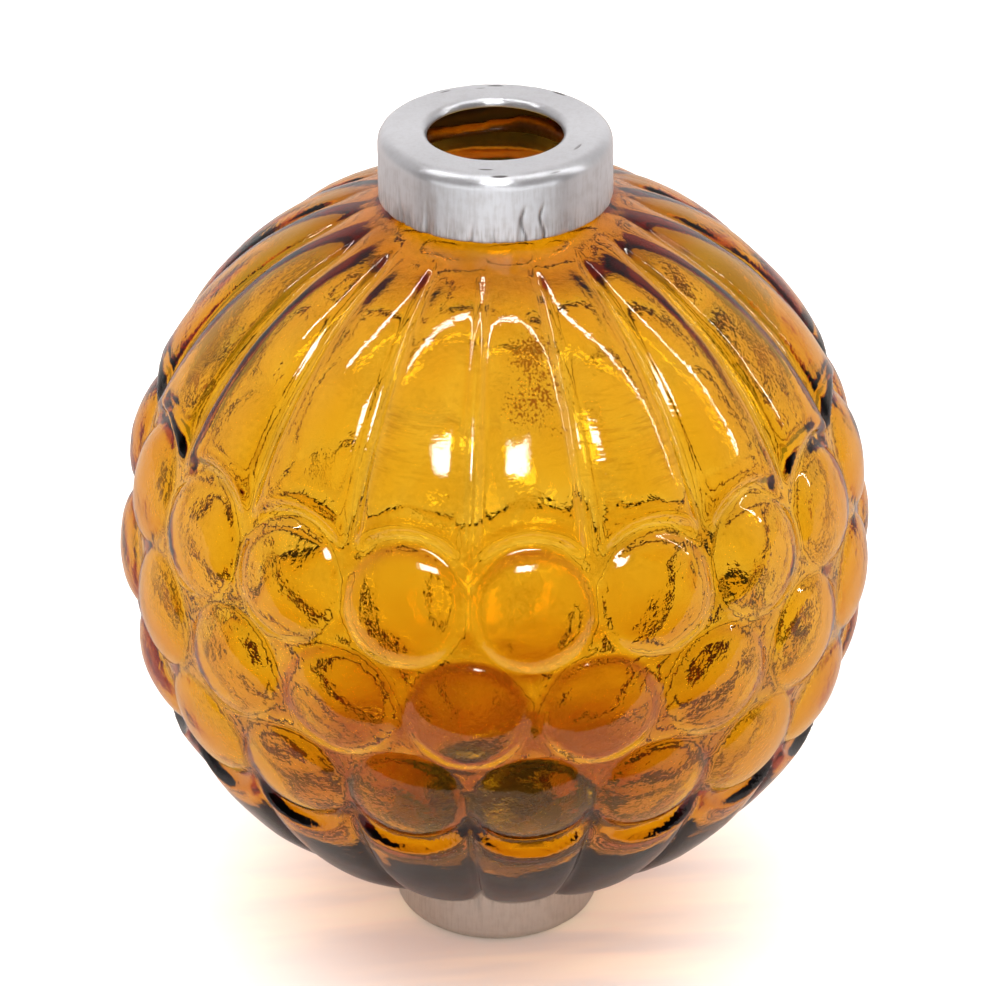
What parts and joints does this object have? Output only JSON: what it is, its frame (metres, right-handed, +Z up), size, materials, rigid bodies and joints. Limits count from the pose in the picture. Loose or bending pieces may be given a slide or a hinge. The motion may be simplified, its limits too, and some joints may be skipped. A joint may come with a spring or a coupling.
{
  "type": "lightning rod ball",
  "caption": "Hollow amber glass ball for a lightning rod, with ribs above and below rows of round grapes, and a spun aluminium cap with a rod hole on each neck.",
  "frame": {"origin": "middle of the bottom cap's flat underside, on the axis of the rod holes, where the ball stands", "axes": "+Z up along the rod holes from the bottom cap to the top cap; -Y is the front, in line with the middle of a rib and of the grape under it; +X is to the right seen from the front"},
  "size_m": [0.1144, 0.1132, 0.1327],
  "materials": {
    "amber_glass": "clear glossy honey amber, grimy inside",
    "top_cap_aluminium": "dull spun metal, streaked and scratched",
    "bottom_cap_aluminium": "dull spun metal, streaked and scratched"
  },
  "bodies": {
    "root": {"glass_ball": "amber_glass", "top_cap": "top_cap_aluminium", "bottom_cap": "bottom_cap_aluminium"}
  },
  "joints": []
}
